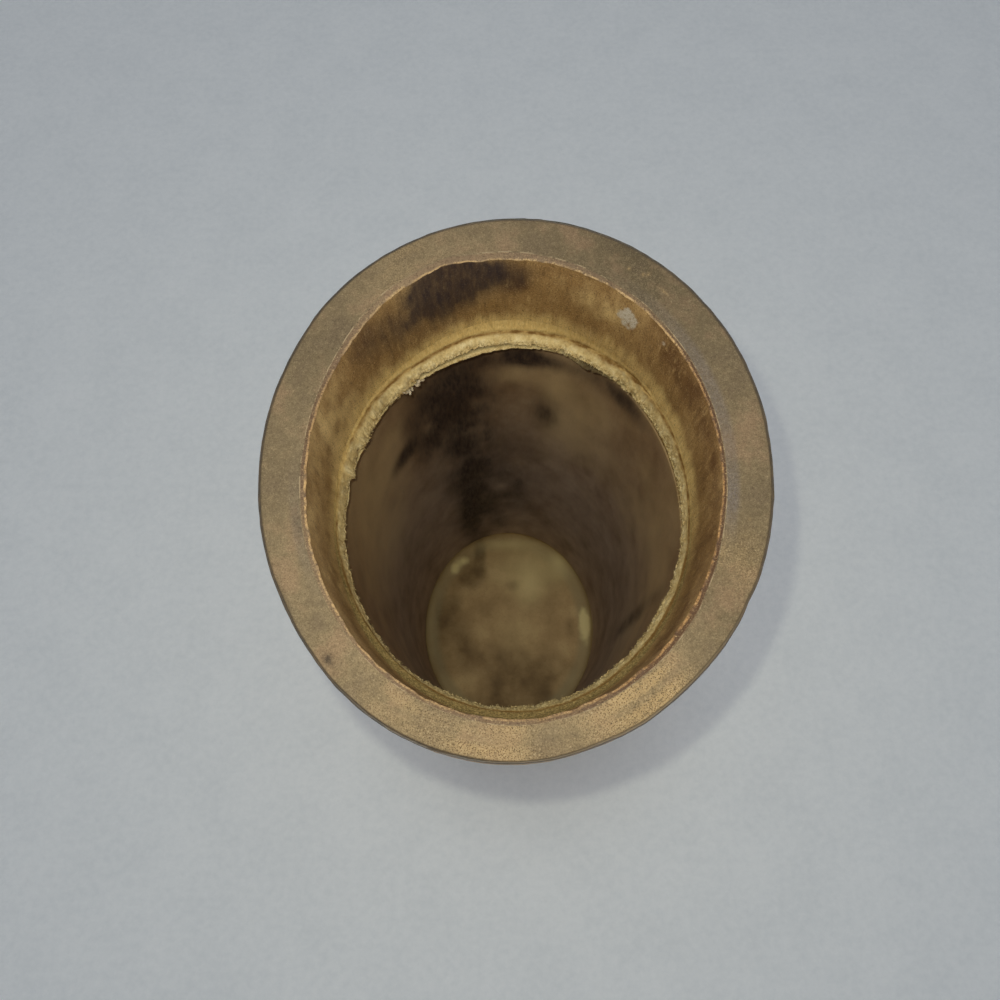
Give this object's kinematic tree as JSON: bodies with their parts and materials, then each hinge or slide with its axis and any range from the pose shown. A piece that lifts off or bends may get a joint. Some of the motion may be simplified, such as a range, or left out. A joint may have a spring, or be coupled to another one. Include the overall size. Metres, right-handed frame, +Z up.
{
  "type": "bamboo vase",
  "caption": "Tall oval flower vase cut from one length of thick old bamboo, with its lower node as the floor and its upper node knocked out to a ragged ring.",
  "frame": {"origin": "middle of the foot, on the surface that the vase stands on", "axes": "+Z up along the culm, +X to the right and +Y to the back as seen by the picture's viewer; the oval is longer along Y"},
  "size_m": [0.1158, 0.1292, 0.277],
  "materials": {
    "wood": "cut end grain, greyed and worn, with dark fibre dots",
    "skin": "hard aged skin, satin, finely streaked",
    "scar": "dry dark ring, matt",
    "lining": "dry pith, water stained, matt",
    "diaphragm": "torn pale fibres, matt"
  },
  "bodies": {
    "root": {"culm_wall": "wood", "foot_skin": "skin", "body_skin": "skin", "rim_skin": "skin", "lower_sheath_scar": "scar", "upper_sheath_scar": "scar", "foot_lining": "lining", "chamber_lining": "lining", "rim_lining": "lining", "floor_lower_layer": "diaphragm", "floor_upper_layer": "diaphragm", "broken_ring_lower_layer": "diaphragm", "broken_ring_upper_layer": "diaphragm"}
  },
  "joints": []
}
